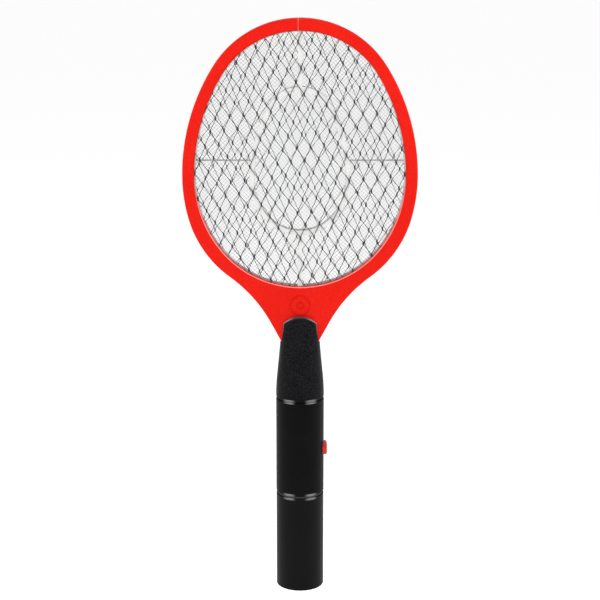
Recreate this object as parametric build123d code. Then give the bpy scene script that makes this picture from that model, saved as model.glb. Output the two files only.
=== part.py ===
from build123d import *
import os
from math import atan2, cos, degrees, radians, sin

# Electric fly swatter: a battery racket whose egg-shaped head holds three nets.
# The origin is the middle of the handle's bottom face. +Z runs up the handle to
# the head, -Y is the front and +X is the side that carries the button.
# Lengths are in millimetres.

# --- head outline, as tangent arcs -------------------------------------------------
HEAD_TOP = 450.0
HEAD_HALF, HEAD_WIDEST = 89.5, 331.0
CAP_RADIUS = 77.8          # arc over the top of the head
LOWER_RADIUS = 120.2       # arc below the widest point
SHOULDER_RADIUS = 84.2     # arc that turns in towards the neck
NECK_RADIUS = 108.9        # hollow arc of the neck
LOWER_TURN, SHOULDER_TURN, NECK_TURN = 15.8, 37.8, 24.4
NECK_FOOT_HALF = 13.6      # half width where the neck enters the handle
BAND = 9.1                 # width of the ring's front face
OPENING_BOTTOM = 245.2
OPENING_FOOT_RADIUS = 78.0 # arc under the opening

# --- head sections -----------------------------------------------------------------
HALF_THICK = 7.5           # the ring is 15 mm thick
FACE_WALL = 2.2            # front and back walls of the ring
RIM_WALL = 2.2             # outer wall of the ring
EDGE_ROUND = 1.6           # rounding of the ring's outer edges
LIP_ROUND = 0.7            # rounding of the opening's edges
TONGUE_HALF = 11.3         # half width of the tongue inside the handle
TONGUE_TOP, TONGUE_BOTTOM = 200.6, 174.0
NET_TUCK = 1.9             # how far the nets reach under the lips
NET_THICK = 0.6
CENTRE_NET_THICK = 0.5
GAP = 0.1                  # clearance between stacked layers
RIM_SHOW = 0.8             # how far the spacers' rims stand into the opening

# --- nets and spacers --------------------------------------------------------------
NET_PITCH_ACROSS, NET_PITCH_ALONG = 10.5, 19.7
NET_STRAND = 0.8
FRONT_TILT, REAR_TILT = 6.8, -5.0   # degrees that the nets' rows lean
OVAL_TOP, OVAL_BOTTOM = 399.2, 286.0
OVAL_WIDEST, OVAL_HALF = 328.0, 38.0
OVAL_CAP_TOP, OVAL_CAP_BOTTOM = 27.0, 36.0
OVAL_BAR = 3.2
POST_WIDE, CROSS_HIGH, CROSS_Z = 3.4, 1.4, 342.4

# --- handle ------------------------------------------------------------------------
HANDLE_R = 18.8
CAP_R = 18.7
WALL = 2.2
CAP_TOP, SHELL_BOTTOM = 77.7, 79.0
UPPER_GROOVE = 156.4
GROOVE_WIDE, GROOVE_DEEP = 1.2, 1.0
GROOVE_ROUND = 0.8
TAPER_START = 159.5
ARCH_RADIUS, ARCH_CENTRE = 18.0, 204.6
ARCH_SPRING = 11.5         # height of the arch's ends above its centre
ARCH_WALL = 2.0
ARCH_ROUND = 1.0
NECK_SLOT = 200.4          # above this height the neck stands between the shells
SHELL_TOP = 230.0
SECTION_STEPS = 24         # points round one section of the tapered handle

# --- button and switch -------------------------------------------------------------
BUTTON_Z = 114.3
BUTTON_WIDE, BUTTON_HIGH, BUTTON_OUT = 12.0, 9.7, 21.4
BUTTON_GAP = 0.25
LED_Z, LED_R = 128.5, 1.5

# --- cells and their cradle --------------------------------------------------------
CELL_R, CELL_LENGTH, CELL_X = 7.1, 50.5, 7.4
NUB_R, NUB_HIGH = 2.7, 1.1
TROUGH_R = 7.45
CRADLE_R, CRADLE_BOTTOM = 16.3, 9.0
CELL_FLOOR, CELL_CEILING = 12.0, 65.5
SPIGOT_R, CAP_BORE = 16.8, 16.9
KEY_WIDE, KEY_OUT = 3.0, 0.45
SPRING_HIGH = 2.0
PLATE = 0.4

# --- circuit board -----------------------------------------------------------------
BOARD_FRONT, BOARD_THICK = 3.0, 1.6
BOARD_HALF, BOARD_LOW, BOARD_HIGH = 10.2, 92.0, 170.0
WIRE_R = 0.7
NET_WIRE_Z = 239.5
TRANSFORMER_Y, TRANSFORMER_LOW, TRANSFORMER_HIGH = -4.2, 138.0, 154.0
YOKE, CORE_HALF, LEG_HALF, CORE_DEEP, WINDOW_OUT = 2.6, 8.0, 2.2, 6.0, 5.6

# --- screws ------------------------------------------------------------------------
HEAD_BOSS_R, HEAD_SCREW_R, HEAD_PILOT_R, HEAD_BORE_R = 2.2, 0.9, 0.95, 1.15
HEAD_SCREW_HEAD_R, HEAD_SCREW_HEAD = 1.75, 1.2
BOSS_INSET = 4.6
HEAD_BOSS_STEPS = (0.0, 0.15, 0.33, 0.51, 0.69)   # places along half of the ring
NECK_BOSS = (22.0, 239.5)
SHELL_BOSS_R, SHELL_SCREW_R, SHELL_PILOT_R, SHELL_BORE_R = 2.7, 1.2, 1.25, 1.45
SHELL_SCREW_HEAD_R, SHELL_SCREW_HEAD = 2.3, 1.6
SHELL_SCREWS = ((0.0, 187.0), (13.2, 150.0), (-13.2, 150.0), (13.2, 88.0), (-13.2, 88.0))
SHELL_SEAT = 8.5           # depth of the back shell's screw seats
BOARD_SCREWS = ((-7.2, 97.0), (7.2, 166.0))


def slab(outline, y_low, y_high):
    """A plate whose X-Z outline is drawn in the sketch plane, between two depths."""
    plane = Plane(origin=(0, y_high, 0), x_dir=(1, 0, 0), z_dir=(0, -1, 0))
    return extrude(plane * outline, amount=y_high - y_low)


def block(x_low, x_high, y_low, y_high, z_low, z_high):
    """A box given by its two corners."""
    size = (x_high - x_low, y_high - y_low, z_high - z_low)
    middle = ((x_low + x_high) / 2, (y_low + y_high) / 2, (z_low + z_high) / 2)
    return Pos(*middle) * Box(*size)


def rod_z(x, y, z_low, z_high, radius):
    """A cylinder along Z."""
    return Pos(x, y, (z_low + z_high) / 2) * Cylinder(radius, z_high - z_low)


def rod_y(x, z, y_low, y_high, radius):
    """A cylinder along Y."""
    return Pos(x, (y_low + y_high) / 2, z) * Rot(90, 0, 0) * Cylinder(radius, y_high - y_low)


def rod_x(y, z, x_low, x_high, radius):
    """A cylinder along X."""
    return Pos((x_low + x_high) / 2, y, z) * Rot(0, 90, 0) * Cylinder(radius, x_high - x_low)


def arc_chain(start, turns):
    """Tangent arcs from a start that heads +X; each turn is (radius, degrees clockwise)."""
    edges, point, heading = [], Vector(*start), 0.0
    for radius, turn in turns:
        tangent = (cos(radians(heading)), sin(radians(heading)))
        edge = JernArc(start=point, tangent=tangent, radius=abs(radius), arc_size=-turn)
        edges.append(edge)
        point, heading = edge @ 1, heading - turn
    return edges


def closed_face(half_edges):
    """The face inside a right-hand half outline and its mirror image."""
    half = Curve() + half_edges
    both = half + mirror(half, about=Plane.YZ)
    return make_face(both.edges())


def quadrant_turns(half_width, rise, cap_radius, grow=0.0):
    """Two tangent arcs that make a quarter of an egg: the end arc and the side arc."""
    reach = rise - cap_radius
    side_radius = (half_width**2 + reach**2 - cap_radius**2) / (2 * (half_width - cap_radius))
    side_turn = degrees(atan2(reach, side_radius - half_width))
    return ((cap_radius + grow, 90 - side_turn), (side_radius + grow, side_turn))


def head_upper_turns(grow):
    """Arcs from the top of the ring's outside to its widest point."""
    return quadrant_turns(HEAD_HALF, HEAD_TOP - HEAD_WIDEST, CAP_RADIUS, grow)


def opening_egg(grow=0.0):
    """The ring's opening, grown outwards all round."""
    half, drop = HEAD_HALF - BAND, HEAD_WIDEST - OPENING_BOTTOM
    lower = quadrant_turns(half, drop, OPENING_FOOT_RADIUS, grow)
    upper = head_upper_turns(grow - BAND)
    return closed_face(arc_chain((0, HEAD_TOP - BAND + grow), upper + lower[::-1]))


def ring_turns(inset):
    """Arcs of the ring's outside from the top to the foot of the neck, drawn inwards."""
    return head_upper_turns(-inset) + (
        (LOWER_RADIUS - inset, LOWER_TURN),
        (SHOULDER_RADIUS - inset, SHOULDER_TURN),
        (NECK_RADIUS + inset, -NECK_TURN),
    )


def head_outline(inset=0.0):
    """The whole red frame in front view: the ring, the neck and its tongue."""
    edges = arc_chain((0, HEAD_TOP - inset), ring_turns(inset))
    foot = edges[-1] @ 1
    tongue = TONGUE_HALF - inset
    corners = [foot, (NECK_FOOT_HALF - inset, TONGUE_TOP), (tongue, TONGUE_TOP)]
    corners += [(tongue, TONGUE_BOTTOM + inset), (0, TONGUE_BOTTOM + inset)]
    return closed_face(edges + [Polyline(*corners)])


def head_screw_places():
    """Screws round the ring and the two beside the neck."""
    path = Wire(arc_chain((0, HEAD_TOP - BOSS_INSET), ring_turns(BOSS_INSET)))
    places = [path @ step for step in HEAD_BOSS_STEPS]
    right = [(place.X, place.Y) for place in places if place.X > 1.0] + [NECK_BOSS]
    return [(0.0, HEAD_TOP - BOSS_INSET)] + right + [(-x, z) for x, z in right]


def emblem():
    """A plain moulded mark: a ring round a small diamond."""
    ring = Circle(8.0) - Circle(7.2)
    diamond = Rot(0, 0, 45) * (Rectangle(5.2, 5.2) - Rectangle(3.8, 3.8))
    return Pos(0, 231.4) * (ring + diamond)


def frame_half():
    """The half of the red frame that faces the front, without holes for its screws."""
    body = slab(head_outline(), -HALF_THICK, -GAP / 2)
    face_edges = body.faces().sort_by(Axis.Y)[0].outer_wire().edges()
    round_edges = face_edges.filter_by(lambda edge: edge.center().Z > TONGUE_TOP + 1)
    body = fillet(round_edges, EDGE_ROUND)
    hollow = slab(head_outline(RIM_WALL), -HALF_THICK + FACE_WALL, 0)
    body -= hollow
    body -= slab(opening_egg(), -HALF_THICK - 1, 0)
    lip = body.faces().sort_by(Axis.Y)[0].inner_wires()[0].edges()
    body = fillet(lip, LIP_ROUND)
    for x, z in head_screw_places():
        body += rod_y(x, z, -HALF_THICK + FACE_WALL, -GAP / 2, HEAD_BOSS_R)
    for x in (-8.2, 8.2):
        body -= block(x - 1.4, x + 1.4, -3.0, 0, TONGUE_BOTTOM - 1, TONGUE_BOTTOM + RIM_WALL + 0.5)
    tongue_screw = SHELL_SCREWS[0]
    body -= rod_y(*tongue_screw, -HALF_THICK - 1, 0, SHELL_BOSS_R + 0.3)
    return body


def head_front_frame():
    body = frame_half()
    for x, z in head_screw_places():
        body -= rod_y(x, z, -HALF_THICK + 1.0, 0, HEAD_PILOT_R)
    body += slab(emblem(), -HALF_THICK - 0.3, -HALF_THICK + 0.2)
    knit_line = block(-1.6, -1.25, -HALF_THICK - 0.1, -HALF_THICK + 0.15, 441.5, HEAD_TOP)
    return body - knit_line


def head_back_frame():
    body = mirror(frame_half(), about=Plane.XZ)
    for x, z in head_screw_places():
        body -= rod_y(x, z, 0, HALF_THICK + 1, HEAD_BORE_R)
        body -= rod_y(x, z, HALF_THICK - HEAD_SCREW_HEAD, HALF_THICK + 1, HEAD_SCREW_HEAD_R + 0.15)
    return body


def head_screws():
    """Self-tapping screws from the back, each a separate solid."""
    seat = HALF_THICK - HEAD_SCREW_HEAD
    screws = []
    for x, z in head_screw_places():
        screw = rod_y(x, z, -HALF_THICK + 1.6, seat + 0.1, HEAD_SCREW_R)
        screw += rod_y(x, z, seat, HALF_THICK - 0.1, HEAD_SCREW_HEAD_R)
        screws.append(screw - cross_slot(x, z, HALF_THICK - 0.1, HEAD_SCREW_HEAD_R))
    return Compound(children=screws)


def cross_slot(x, z, y_top, radius):
    """The cross recess of a screw whose head ends at y_top."""
    wide, deep, reach = radius * 0.28, 0.6, radius * 1.2
    bar = block(x - reach / 2, x + reach / 2, y_top - deep, y_top + 1, z - wide / 2, z + wide / 2)
    post = block(x - wide / 2, x + wide / 2, y_top - deep, y_top + 1, z - reach / 2, z + reach / 2)
    return bar + post


def diamond_net(y_low, y_high, tilt, tab_x):
    """A flat expanded-metal net: a sheet with staggered diamond holes and a wire tab."""
    sheet = opening_egg(NET_TUCK)
    keep_in = opening_egg(-1.2)
    hole_wide = NET_PITCH_ACROSS - NET_STRAND * 1.15
    hole_high = NET_PITCH_ALONG - NET_STRAND * 2.2
    corners = ((hole_wide / 2, 0), (0, hole_high / 2), (-hole_wide / 2, 0), (0, -hole_high / 2))
    middle = Pos(0, 343.0) * Rot(0, 0, tilt)
    holes = []
    for row in range(-14, 15):
        for column in range(-12, 13):
            x = (column + (row % 2) / 2) * NET_PITCH_ACROSS
            z = row * NET_PITCH_ALONG / 2
            hole = middle * Pos(x, z) * Polyline(*corners, close=True)
            if all(keep_in.is_inside(vertex.center()) for vertex in hole.vertices()):
                holes.append(Wire(hole.edges()))
    tab = Pos(tab_x, 241.0) * Rectangle(3.6, 8.0)
    outline = (sheet + tab).face().outer_wire()
    return slab(Face(outline, holes), y_low, y_high)


def centre_net():
    """The fine middle net as a thin plate with a tab for its wire."""
    tab = Pos(-6.0, 241.0) * Rectangle(3.6, 8.0)
    return slab(opening_egg(NET_TUCK) + tab, -CENTRE_NET_THICK / 2, CENTRE_NET_THICK / 2)


def spacer_oval(grow=0.0):
    """The oval in the middle of a spacer, drawn in or out all round."""
    upper = quadrant_turns(OVAL_HALF, OVAL_TOP - OVAL_WIDEST, OVAL_CAP_TOP, grow)
    lower = quadrant_turns(OVAL_HALF, OVAL_WIDEST - OVAL_BOTTOM, OVAL_CAP_BOTTOM, grow)
    return closed_face(arc_chain((0, OVAL_TOP + grow), upper + lower[::-1]))


def spacer(y_low, y_high):
    """A white spider: a rim under the lips, an oval, two posts and two cross bars."""
    opening = opening_egg(-RIM_SHOW)
    rim = opening_egg(NET_TUCK) - opening
    oval = spacer_oval() - spacer_oval(-OVAL_BAR)
    upper_post = Pos(0, (OVAL_TOP + HEAD_TOP) / 2 - 3) * Rectangle(POST_WIDE, HEAD_TOP - OVAL_TOP - 2)
    lower_post = Pos(0, (OVAL_BOTTOM + 245) / 2) * Rectangle(POST_WIDE, OVAL_BOTTOM - 241)
    side = (OVAL_HALF + HEAD_HALF) / 2
    cross = Rectangle(HEAD_HALF - OVAL_HALF, CROSS_HIGH)
    arms = [Pos(sign * side, CROSS_Z) * cross for sign in (-1, 1)]
    inside = (upper_post + lower_post + arms[0] + arms[1]) & opening_egg(-RIM_SHOW / 2)
    inside -= spacer_oval(-OVAL_BAR / 2)
    return slab(rim + oval + inside, y_low, y_high)


def wire(points, radii, radius=WIRE_R):
    """A round wire along straight runs joined by tangent arcs."""
    route = FilletPolyline(*points, radius=radii) if len(points) > 2 else Polyline(*points)
    start = Plane(origin=route @ 0, z_dir=route % 0)
    return sweep(start * Circle(radius), path=route)


def handle_section(height, half_wide, half_deep, power):
    """The handle's outline at a height: a circle, or a closed superellipse above it."""
    if power == 2.0:
        return Pos(0, 0, height) * Circle(half_wide)
    points = []
    for step in range(SECTION_STEPS):
        angle = radians(step * 360 / SECTION_STEPS)
        across, along = cos(angle), sin(angle)
        x = half_wide * abs(across) ** (2 / power) * (1 if across > 0 else -1)
        y = half_deep * abs(along) ** (2 / power) * (1 if along > 0 else -1)
        points.append((x, y, height))
    return Face(Wire([Spline(*points, periodic=True)]))


def handle_form(inset, bottom):
    """The outside of the shells, or their inside when inset is the wall."""
    full = HANDLE_R - inset
    lower = rod_z(0, 0, bottom, TAPER_START, full)
    stations = (
        (TAPER_START, HANDLE_R, HANDLE_R, 2.0),
        (164.0, 18.7, 18.7, 2.0),
        (178.0, 17.6, 17.3, 2.15),
        (190.0, 16.4, 15.8, 2.45),
        (202.0, 15.3, 14.2, 2.85),
        (214.0, 14.0, 12.9, 3.2),
        (SHELL_TOP, 12.4, 12.0, 3.5),
    )
    sections = [
        handle_section(height, wide - inset, deep - inset, power)
        for height, wide, deep, power in stations
    ]
    return lower + loft(sections)


def arch_region(inset=0.0):
    """Front view of the shells: straight below, a round arch on top."""
    arch = Pos(0, ARCH_CENTRE) * Circle(ARCH_RADIUS - inset)
    low, high = 60.0, ARCH_CENTRE + ARCH_SPRING - inset
    return arch + Pos(0, (low + high) / 2) * Rectangle(50, high - low)


def groove(height, outer):
    """A narrow groove round the handle, as the tool that cuts it."""
    ring = rod_z(0, 0, height - GROOVE_WIDE / 2, height + GROOVE_WIDE / 2, outer + 2)
    return ring - rod_z(0, 0, height - 2, height + 2, outer - GROOVE_DEEP)


def shell_pair_body():
    """Both shells as one hollow body, before they are parted."""
    neck_room = HALF_THICK + 0.05
    neck_slot = block(-30, 30, -neck_room, neck_room, NECK_SLOT, SHELL_TOP + 5)
    outside = (handle_form(0, SHELL_BOTTOM) & slab(arch_region(), -30, 30)) - neck_slot
    arches = outside.edges().filter_by(lambda edge: abs(edge.center().Y) > neck_room + 1)
    arches = arches.filter_by(lambda edge: edge.center().Z > ARCH_CENTRE + ARCH_RADIUS - 0.5)
    outside = fillet(arches, ARCH_ROUND)
    outside -= groove(UPPER_GROOVE, HANDLE_R)
    lips = outside.edges().filter_by(GeomType.CIRCLE)
    lips = lips.filter_by(lambda edge: abs(edge.radius - HANDLE_R) < 0.05)
    near_groove = lips.filter_by(lambda edge: abs(edge.center().Z - UPPER_GROOVE) < 1)
    foot = lips.filter_by(lambda edge: abs(edge.center().Z - SHELL_BOTTOM) < 0.1)
    outside = fillet(near_groove + foot, GROOVE_ROUND)
    inside = handle_form(WALL, SHELL_BOTTOM - 1) & slab(arch_region(ARCH_WALL), -30, 30)
    body = outside - inside
    for height in (180.0, 196.0):
        plate = block(-20, 20, -20, 20, height - 0.8, height + 0.8) & inside
        body += plate - block(-20, 20, -HALF_THICK - GAP, HALF_THICK + GAP, height - 2, height + 2)
    button_hole = rounded_bar(BUTTON_WIDE + 2 * BUTTON_GAP, BUTTON_HIGH + 2 * BUTTON_GAP, 12, 24, 3.2)
    body -= button_hole
    body -= rod_x(0, LED_Z, 12, 22, LED_R + 0.1)
    return body


def rounded_bar(wide, high, x_low, x_high, corner):
    """A bar along X at the button's height, with a rounded rectangle as its section."""
    plane = Plane(origin=(x_low, 0, BUTTON_Z), x_dir=(0, 1, 0), z_dir=(1, 0, 0))
    return extrude(plane * RectangleRounded(wide, high, corner), amount=x_high - x_low)


def shell_bosses(sign, reach, radius, inside):
    """Screw bosses that grow from one shell's wall to a depth."""
    bosses = []
    for x, z in SHELL_SCREWS:
        low, high = sorted((sign * 20, sign * reach))
        bosses.append(rod_y(x, z, low, high, radius) & inside)
    return bosses


def handle_front_shell(pair, inside):
    body = pair & block(-30, 30, -30, -0.05, 0, SHELL_TOP + 5)
    for boss in shell_bosses(-1, 0.05, SHELL_BOSS_R, inside):
        body += boss
    for x, z in SHELL_SCREWS:
        body -= rod_y(x, z, -9.0, 1, SHELL_PILOT_R)
    return body


def handle_back_shell(pair, inside):
    body = pair & block(-30, 30, 0.05, 30, 0, SHELL_TOP + 5)
    for boss in shell_bosses(1, 0.05, SHELL_BOSS_R, inside):
        body += boss
    for x, z in SHELL_SCREWS:
        body -= rod_y(x, z, -1, 30, SHELL_BORE_R)
        body -= rod_y(x, z, SHELL_SEAT, 30, SHELL_SCREW_HEAD_R + 0.3)
    for x, z in BOARD_SCREWS:
        back = BOARD_FRONT + BOARD_THICK
        body += rod_y(x, z, back + 0.02, 20, 2.2) & inside
        body -= rod_y(x, z, back, 11.0, 0.95)
    return body


def handle_screws():
    """Self-tapping screws through the back shell into the front shell."""
    screws = []
    for x, z in SHELL_SCREWS:
        screw = rod_y(x, z, -7.5, SHELL_SEAT + 0.1, SHELL_SCREW_R)
        screw += rod_y(x, z, SHELL_SEAT + 0.02, SHELL_SEAT + SHELL_SCREW_HEAD, SHELL_SCREW_HEAD_R)
        screws.append(screw - cross_slot(x, z, SHELL_SEAT + SHELL_SCREW_HEAD, SHELL_SCREW_HEAD_R))
    return Compound(children=screws)


def battery_cap():
    """The pull-off sleeve that closes the bottom of the handle over the cells."""
    body = rod_z(0, 0, 0, CAP_TOP, CAP_R)
    ends = body.edges().filter_by(GeomType.CIRCLE)
    body = fillet(ends.sort_by(Axis.Z)[-1], GROOVE_ROUND)
    body = fillet(body.edges().filter_by(GeomType.CIRCLE).sort_by(Axis.Z)[0], 0.9)
    body -= rod_z(0, 0, 2.0, CAP_TOP + 1, CAP_BORE)
    reach = SPIGOT_R + KEY_OUT + 0.1
    keyway = block(-reach, reach, -KEY_WIDE / 2 - 0.15, KEY_WIDE / 2 + 0.15, 66.0, CAP_TOP + 1)
    return body - (keyway & rod_z(0, 0, 60, CAP_TOP + 1, reach))


def battery_cradle():
    """The black chassis that holds the cells and carries the cap on its spigot."""
    body = rod_z(0, 0, CRADLE_BOTTOM, 70.0, CRADLE_R)
    body -= block(-20, 20, 9.2, 20, CRADLE_BOTTOM - 1, 68.0)
    body -= block(-14.9, 14.9, -20, 0, CELL_FLOOR, CELL_CEILING)
    for x in (-CELL_X, CELL_X):
        body -= rod_z(x, 0, CELL_FLOOR, CELL_CEILING, TROUGH_R)
    collar = rod_z(0, 0, 68.0, CAP_TOP + 0.05, SPIGOT_R)
    key_reach = SPIGOT_R + KEY_OUT
    key = block(-key_reach, key_reach, -KEY_WIDE / 2, KEY_WIDE / 2, 68.0, CAP_TOP + 0.05)
    collar += key & rod_z(0, 0, 60, 80, key_reach)
    collar += rod_z(0, 0, CAP_TOP + 0.05, SHELL_BOTTOM - 0.05, HANDLE_R - GROOVE_DEEP)
    collar += rod_z(0, 0, SHELL_BOTTOM - 0.05, 84.0, HANDLE_R - WALL - 0.05)
    collar -= rod_z(0, 0, 69.5, 90, 14.6)
    body += collar
    for x in (-CELL_X, CELL_X):
        body -= rod_z(x, 0, 60, 80, 1.2)
    return body


def cell(x, up):
    """A 14.5 mm by 50.5 mm cell; up says whether its nub is at the top."""
    low = CELL_FLOOR + PLATE + 0.05 + (SPRING_HIGH if up else 0)
    body = rod_z(0, 0, 0, CELL_LENGTH - NUB_HIGH, CELL_R)
    body = fillet(body.edges().filter_by(GeomType.CIRCLE), 0.5)
    nub = rod_z(0, 0, CELL_LENGTH - NUB_HIGH - 0.1, CELL_LENGTH, NUB_R)
    nub = fillet(nub.edges().filter_by(GeomType.CIRCLE).sort_by(Axis.Z)[-1], 0.4)
    turned = Rot(0, 0, 0) if up else Pos(0, 0, CELL_LENGTH) * Rot(180, 0, 0)
    return Pos(x, 0, low) * turned * (body + nub)


def coil_spring(x, z_low, high, radius, wire_radius, turns):
    """A round-wire contact spring of constant radius."""
    pitch = (high - 2 * wire_radius) / turns
    path = Helix(pitch, pitch * turns, radius, center=(x, 0, z_low + wire_radius))
    section = Plane(origin=path @ 0, z_dir=path % 0) * Circle(wire_radius)
    return sweep(section, path=path, is_frenet=True)


def bridge_contact():
    """The plate under the cells that joins them: a spring below one, a flat below the other."""
    floor = CELL_FLOOR + 0.02
    plate = block(-CELL_X - 4, CELL_X + 4, -4, -0.3, floor, floor + PLATE)
    for x in (-CELL_X, CELL_X):
        plate += block(x - 4, x + 4, -4, 4, floor, floor + PLATE)
    spring = coil_spring(-CELL_X, floor + PLATE, SPRING_HIGH - 0.02, 2.6, 0.3, 2.5)
    return Compound(children=[plate, spring])


def top_contact(x):
    """A plate under the cradle's top wall, with a pin up through it for the lead."""
    ceiling = CELL_CEILING - 0.02
    plate = block(x - 4, x + 4, -4, 4, ceiling - PLATE, ceiling)
    return plate + rod_z(x, 0, ceiling - PLATE, 73.0, 0.9)


def spring_contact():
    """The upper contact of the cell that stands nub down."""
    plate = top_contact(CELL_X)
    low = CELL_FLOOR + PLATE + 0.05 + CELL_LENGTH + 0.02
    high = CELL_CEILING - 0.02 - PLATE - low
    return Compound(children=[plate, coil_spring(CELL_X, low, high, 2.6, 0.3, 2.5)])


def battery_lead(x, board_x):
    """A lead from a contact pin up to the circuit board's front face."""
    top = 98.0
    points = ((x, 0, 73.0), (x, 0, 84.0), (board_x, -2.0, 92.0), (board_x, -2.0, top))
    points += ((board_x, BOARD_FRONT, top),)
    return wire(points, (6.0, 6.0, 2.4))


def circuit_board():
    """The printed circuit board, with its screw holes."""
    back = BOARD_FRONT + BOARD_THICK
    board = block(-BOARD_HALF, BOARD_HALF, BOARD_FRONT, back, BOARD_LOW, BOARD_HIGH)
    for x, z in BOARD_SCREWS:
        board -= rod_y(x, z, 0, 10, 1.2)
    return board


def board_screws():
    """Small screws that hold the board to the back shell's posts."""
    screws = []
    for x, z in BOARD_SCREWS:
        screw = rod_y(x, z, BOARD_FRONT - 0.1, 10.0, 0.9)
        screw += rod_y(x, z, BOARD_FRONT - 1.3, BOARD_FRONT - 0.02, 1.7)
        screws.append(screw)
    return Compound(children=screws)


def transformer_core():
    """A ferrite core of two E halves, closed round its windows."""
    y_low, y_high = TRANSFORMER_Y - CORE_DEEP / 2, TRANSFORMER_Y + CORE_DEEP / 2
    core = block(-CORE_HALF, CORE_HALF, y_low, y_high, TRANSFORMER_LOW, TRANSFORMER_HIGH)
    low, high = TRANSFORMER_LOW + YOKE, TRANSFORMER_HIGH - YOKE
    for sign in (-1, 1):
        x_low, x_high = sorted((sign * LEG_HALF, sign * WINDOW_OUT))
        core -= block(x_low, x_high, -20, 20, low, high)
    return core


def ring_block(half_x, half_y, hole_x, hole_y, z_low, z_high):
    """A square ring round the transformer's middle leg."""
    y = TRANSFORMER_Y
    ring = block(-half_x, half_x, y - half_y, y + half_y, z_low, z_high)
    return ring - block(-hole_x, hole_x, y - hole_y, y + hole_y, z_low - 1, z_high + 1)


def transformer_bobbin():
    """The plastic bobbin: a tube with two flanges and two feet on the board."""
    low, high = TRANSFORMER_LOW + YOKE + 0.1, TRANSFORMER_HIGH - YOKE - 0.1
    hole_x, hole_y = LEG_HALF + 0.1, CORE_DEEP / 2 + 0.1
    body = ring_block(hole_x + 0.6, hole_y + 0.6, hole_x, hole_y, low, high)
    for z in (low, high - 0.9):
        body += ring_block(5.4, 6.0, hole_x, hole_y, z, z + 0.9)
        body += block(-5.0, 5.0, TRANSFORMER_Y + 4.0, BOARD_FRONT - 0.02, z, z + 0.9)
    return body


def transformer_winding():
    """The copper winding between the bobbin's flanges."""
    low, high = TRANSFORMER_LOW + YOKE + 1.05, TRANSFORMER_HIGH - YOKE - 1.05
    body = ring_block(5.2, 5.6, LEG_HALF + 0.75, CORE_DEEP / 2 + 0.75, low, high)
    outer = body.edges().filter_by(Axis.Z)
    corners = outer.filter_by(lambda edge: abs(edge.center().X) > 5)
    return fillet(corners, 1.2)


def film_capacitor():
    """The large dipped capacitor that stores the charge for the nets."""
    body = block(-6.5, 4.2, -4.0, BOARD_FRONT - 0.4, 157.0, 169.0)
    return fillet(body.edges(), 1.6) + leads_y(((-3.5, 159.0), (1.2, 167.0)), 0.0, 0.4)


def leads_y(places, y_low, radius):
    """Round leads that end on the board's front face."""
    pins = Part()
    for x, z in places:
        pins += rod_y(x, z, y_low, BOARD_FRONT - 0.02, radius)
    return pins


def disc_capacitors():
    """Three ceramic discs of the voltage multiplier."""
    discs = []
    for z in (122.5, 128.0, 133.5):
        disc = rod_z(-5.0, -2.2, z - 1.2, z + 1.2, 3.9)
        disc = fillet(disc.edges().filter_by(GeomType.CIRCLE), 0.9)
        discs.append(disc + leads_y(((-7.0, z), (-3.0, z)), -0.5, 0.3))
    return Compound(children=discs)


def axial_part(x, z, y, radius, length, span):
    """A part with a lead at each end that bends down to the board."""
    body = rod_z(x, y, z - length / 2, z + length / 2, radius)
    body = fillet(body.edges().filter_by(GeomType.CIRCLE), radius * 0.3)
    body += rod_z(x, y, z - span / 2, z + span / 2, 0.25)
    return body + leads_y(((x, z - span / 2), (x, z + span / 2)), y - 0.35, 0.32)


def rectifier_diodes():
    """Three small diodes of the voltage multiplier."""
    return Compound(children=[axial_part(x, 128.0, 1.2, 1.0, 4.6, 8.0) for x in (1.4, 4.2, 7.0)])


def resistors():
    """The base resistor and the bleed resistor."""
    places = ((-8.2, 110.0), (-5.2, 110.0))
    return Compound(children=[axial_part(x, z, 1.0, 1.2, 6.0, 9.5) for x, z in places])


def oscillator_transistor():
    """The transistor that drives the transformer: a half-round plastic body on three legs."""
    body = rod_z(-1.0, -4.0, 104.0, 108.6, 2.3)
    body -= block(-5, 5, -3.0, 0, 100, 112)
    body += block(-3.0, 1.0, -3.2, -2.9, 104.0, 108.6)
    legs = Part()
    for x in (-2.2, -1.0, 0.2):
        legs += block(x - 0.2, x + 0.2, -4.0, -3.6, 101.0, 104.2)
        legs += block(x - 0.2, x + 0.2, -4.0, BOARD_FRONT - 0.02, 100.6, 101.0)
    return body + legs


def indicator_led():
    """The small lamp behind its hole in the handle's side."""
    body = rod_x(0, LED_Z, 12.2, 17.2, LED_R) + Pos(17.2, 0, LED_Z) * Sphere(LED_R)
    body += rod_x(0, LED_Z, 12.2, 13.2, LED_R + 0.4)
    for z in (LED_Z - 0.6, LED_Z + 0.6):
        body += block(9.0, 12.4, -0.2, 0.2, z - 0.2, z + 0.2)
        body += block(9.0, 9.4, -0.2, BOARD_FRONT - 0.02, z - 0.2, z + 0.2)
    return body


def switch_body():
    """The push switch's housing, with the well that its plunger slides in."""
    low, high = BUTTON_Z - 4.5, BUTTON_Z + 4.5
    body = block(1.0, 9.0, -6.0, BOARD_FRONT - 0.02, low, high)
    body = fillet(body.edges().filter_by(Axis.X), 0.5)
    return body - rod_x(-1.5, BUTTON_Z, 5.0, 10.0, 1.8)


def switch_plunger():
    """The plunger between the switch and the button."""
    return rod_x(-1.5, BUTTON_Z, 6.8, 12.28, 1.75)


def switch_button():
    """The red push button: a rounded cap with a flange that keeps it in the handle."""
    body = rounded_bar(BUTTON_WIDE, BUTTON_HIGH, 13.4, BUTTON_OUT, 3.0)
    end = body.faces().sort_by(Axis.X)[-1].edges()
    body = fillet(end, 1.5)
    flange = rounded_bar(BUTTON_WIDE + 2.4, BUTTON_HIGH + 2.4, 13.0, 14.2, 4.0)
    post = rod_x(-1.5, BUTTON_Z, 12.3, 13.2, 2.6)
    return body + flange + post



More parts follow.
